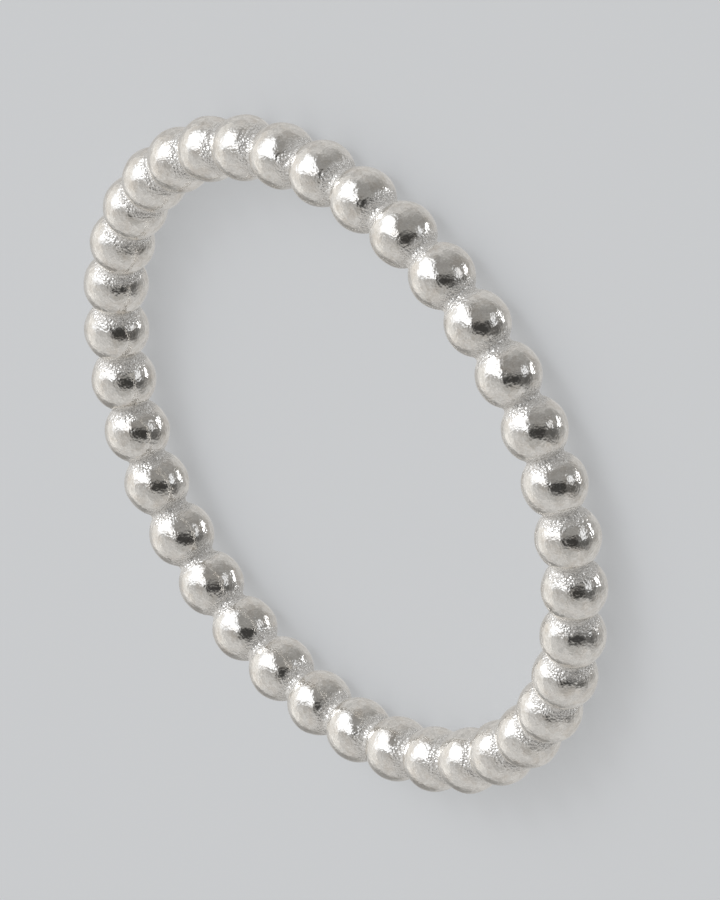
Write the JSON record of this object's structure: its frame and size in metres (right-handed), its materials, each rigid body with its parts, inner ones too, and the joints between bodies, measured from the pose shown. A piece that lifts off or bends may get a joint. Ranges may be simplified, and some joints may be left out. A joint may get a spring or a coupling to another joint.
{
  "type": "beaded ring",
  "caption": "Slim finger ring: round metal beads run into each other through short waisted necks, in one closed loop around an open finger hole.",
  "frame": {"origin": "on the finger hole's axis, in the plane on which the undersides of the beads rest", "axes": "+Z along the finger hole, up when the ring lies on its side; +X through the middle of a bead"},
  "size_m": [0.0218, 0.0218, 0.002],
  "materials": {
    "silver": "polished silver, bright on the beads and frosted grey-white down in the necks"
  },
  "bodies": {
    "root": {"beaded_band": "silver"}
  },
  "joints": []
}
